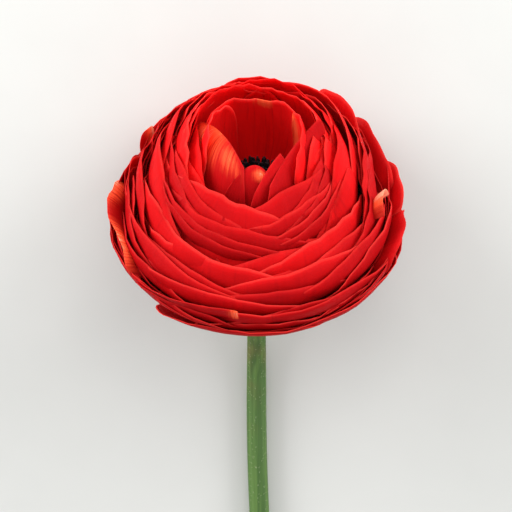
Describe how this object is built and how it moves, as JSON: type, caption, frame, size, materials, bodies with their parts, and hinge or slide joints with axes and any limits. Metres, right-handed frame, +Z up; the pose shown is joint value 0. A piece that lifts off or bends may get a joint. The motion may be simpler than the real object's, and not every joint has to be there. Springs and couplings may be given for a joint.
{
  "type": "persian buttercup flower",
  "caption": "Double flower head of many layered, overlapping petals round a small dark centre, on a short bent cut stem that lies on a surface.",
  "frame": {"origin": "middle of the flower's footprint, on the surface that it lies on", "axes": "+Z up from that surface; the stem's cut end points to -Y and the bloom faces up and +Y; X runs across"},
  "size_m": [0.091, 0.183, 0.0668],
  "materials": {
    "petal": "soft satin petal, deep red",
    "sepal": "matte green leaf",
    "stamen": "matte purplish black",
    "carpel": "matte greenish black",
    "stem": "satin green stem"
  },
  "bodies": {
    "root": {"petals": "petal", "calyx": "sepal", "stamens": "stamen", "carpels": "carpel", "stem": "stem"}
  },
  "joints": []
}
